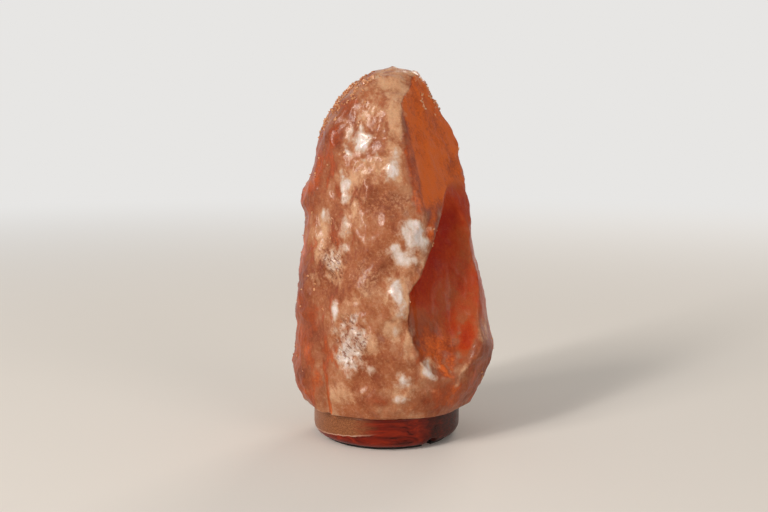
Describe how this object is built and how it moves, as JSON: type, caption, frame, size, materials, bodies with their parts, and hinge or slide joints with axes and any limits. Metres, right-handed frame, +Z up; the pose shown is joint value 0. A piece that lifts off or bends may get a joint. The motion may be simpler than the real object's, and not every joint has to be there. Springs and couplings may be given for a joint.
{
  "type": "salt crystal lamp",
  "caption": "Hewn translucent rock salt block on a round turned wooden base, with a pull-out spring-claw lampholder and a small screw-in bulb in its drilled cavity.",
  "frame": {"origin": "the middle of the ring pad's flat underside, on the wooden base's axis, on the face that the lamp rests on", "axes": "+Z up along the base's axis, -Y towards the front that the picture shows, +X to the viewer's right"},
  "size_m": [0.1626, 0.1366, 0.2946],
  "materials": {
    "rock_salt": "satin",
    "turned_wood": "gloss",
    "rubber_pad": "matte",
    "zinc_steel": "satin",
    "plug_plastic": "matte",
    "spring_steel": "gloss",
    "black_plastic": "satin",
    "porcelain": "gloss",
    "plain_brass": "satin",
    "solder": "satin",
    "black_glass": "gloss",
    "cap_aluminium": "satin",
    "clear_glass": "polished",
    "tungsten": "satin"
  },
  "bodies": {
    "lamp": {"salt_crystal": "rock_salt", "wooden_base": "turned_wood", "base_pad": "rubber_pad", "base_screws": "zinc_steel", "screw_plugs": "plug_plastic"},
    "holder": {"holder_plate": "zinc_steel", "spring_claws": "spring_steel", "holder_nipple": "zinc_steel", "nipple_nut": "zinc_steel", "lock_washer": "spring_steel", "cord_bush": "black_plastic", "socket_cap": "black_plastic", "socket_barrel": "black_plastic", "contact_block": "porcelain", "screw_shell": "plain_brass", "centre_contact": "plain_brass", "shell_contact": "plain_brass", "contact_rivets": "plain_brass", "terminal_clamps": "plain_brass", "terminal_screws": "zinc_steel"},
    "bulb_tip": {"cap_contact": "solder"},
    "bulb": {"cap_insulator": "black_glass", "bulb_cap": "cap_aluminium", "bulb_glass": "clear_glass", "glass_mount": "clear_glass", "lead_wires": "spring_steel", "filament": "tungsten", "filament_supports": "tungsten"}
  },
  "joints": [
    {"name": "holder_pull", "type": "slide", "parent": "lamp", "child": "holder", "axis": [0, 0, 1], "range_m": [-0.115, 0]},
    {"name": "bulb_lift", "type": "slide", "parent": "holder", "child": "bulb_tip", "axis": [0, 0, 1], "range_m": [0, 0.01415]},
    {"name": "bulb_turn", "type": "hinge", "parent": "bulb_tip", "child": "bulb", "pos_m": [0, 0, 0.04], "axis": [0, 0, 1], "range_deg": [0, 1800]}
  ],
  "couplings": [
    {"joint": "bulb_lift", "follows": "bulb_turn", "m_per_rad": 0.00044913}
  ]
}
